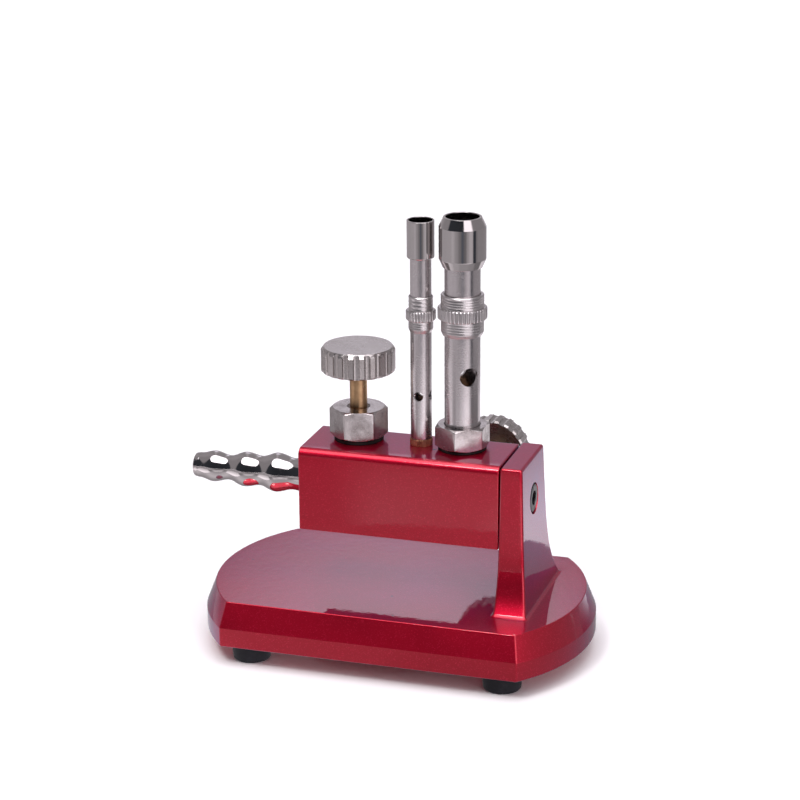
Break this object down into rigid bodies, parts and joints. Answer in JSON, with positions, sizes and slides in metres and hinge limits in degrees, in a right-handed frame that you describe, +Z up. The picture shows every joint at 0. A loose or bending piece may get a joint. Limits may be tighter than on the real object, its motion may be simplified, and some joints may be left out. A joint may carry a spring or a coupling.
{
  "type": "lampwork torch",
  "caption": "Double-burner desktop gas torch: tilting gas block with two needle valves, pilot and main burner with air collars, hose barb, on a cast base.",
  "frame": {"origin": "on the bench, under the middle of the torch's bounding box", "axes": "+X from the hose barb to the post along the tilt axis, +Y to the back where the second valve is, +Z up along the burners"},
  "size_m": [0.123, 0.075, 0.1312],
  "materials": {
    "red_paint": "gloss candy red metallic over casting",
    "nickel_plate": "bright nickel plate over turned brass",
    "brass": "turned, slightly tarnished",
    "black_steel": "black oxide",
    "black_rubber": "matte moulded",
    "black_fibre": "matte pressed fibre"
  },
  "bodies": {
    "base": {"base_casting": "red_paint", "pivot_friction_washer": "black_fibre", "pivot_spring_washer": "black_steel", "foot_front_left": "black_rubber", "foot_front_right": "black_rubber", "foot_back_left": "black_rubber", "foot_back_right": "black_rubber", "foot_screw_front_left": "black_steel", "foot_screw_front_right": "black_steel", "foot_screw_back_left": "black_steel", "foot_screw_back_right": "black_steel"},
    "burner_block": {"gas_block": "red_paint", "gallery_plug": "black_steel", "pivot_screw": "black_steel", "hose_barb": "nickel_plate", "barb_seal": "black_fibre", "top_valve_washer": "black_fibre", "top_valve_nut": "nickel_plate", "back_valve_washer": "black_fibre", "back_valve_nut": "nickel_plate", "large_burner_washer": "black_fibre", "large_burner_nut": "nickel_plate", "large_burner_jet": "brass", "large_burner_tube": "nickel_plate", "large_burner_head": "nickel_plate", "small_burner_ring": "brass", "small_burner_jet": "brass", "small_burner_tube": "nickel_plate", "small_burner_head": "nickel_plate"},
    "top_stem": {"top_valve_stem": "brass", "top_valve_oring": "black_rubber"},
    "top_knob": {"top_valve_knob": "nickel_plate"},
    "back_stem": {"back_valve_stem": "brass", "back_valve_oring": "black_rubber"},
    "back_knob": {"back_valve_knob": "nickel_plate"},
    "large_collar": {"large_air_collar": "nickel_plate"},
    "small_collar": {"small_air_collar": "nickel_plate"}
  },
  "joints": [
    {"name": "arm_tilt", "type": "hinge", "parent": "base", "child": "burner_block", "pos_m": [0.03633, -0.00317, 0.0492], "axis": [1, 0, 0], "range_deg": [-25, 90]},
    {"name": "top_stem_rise", "type": "slide", "parent": "burner_block", "child": "top_stem", "axis": [0, 0, 1], "range_m": [0, 0.002]},
    {"name": "top_knob_turn", "type": "hinge", "parent": "top_stem", "child": "top_knob", "pos_m": [-0.01033, -0.00097, 0.0827], "axis": [0, 0, 1], "range_deg": [0, 720]},
    {"name": "back_stem_rise", "type": "slide", "parent": "burner_block", "child": "back_stem", "axis": [0, 1, 0], "range_m": [0, 0.002]},
    {"name": "back_knob_turn", "type": "hinge", "parent": "back_stem", "child": "back_knob", "pos_m": [0.02142, 0.02987, 0.0492], "axis": [0, 1, 0], "range_deg": [0, 720]},
    {"name": "large_collar_slide", "type": "slide", "parent": "burner_block", "child": "large_collar", "axis": [0, 0, 1], "range_m": [-0.025, 0.007]},
    {"name": "small_collar_slide", "type": "slide", "parent": "burner_block", "child": "small_collar", "axis": [0, 0, 1], "range_m": [-0.028, 0.01]}
  ],
  "couplings": [
    {"joint": "top_knob_turn", "follows": "top_stem_rise", "rad_per_m": 6283.2},
    {"joint": "back_knob_turn", "follows": "back_stem_rise", "rad_per_m": 6283.2}
  ]
}
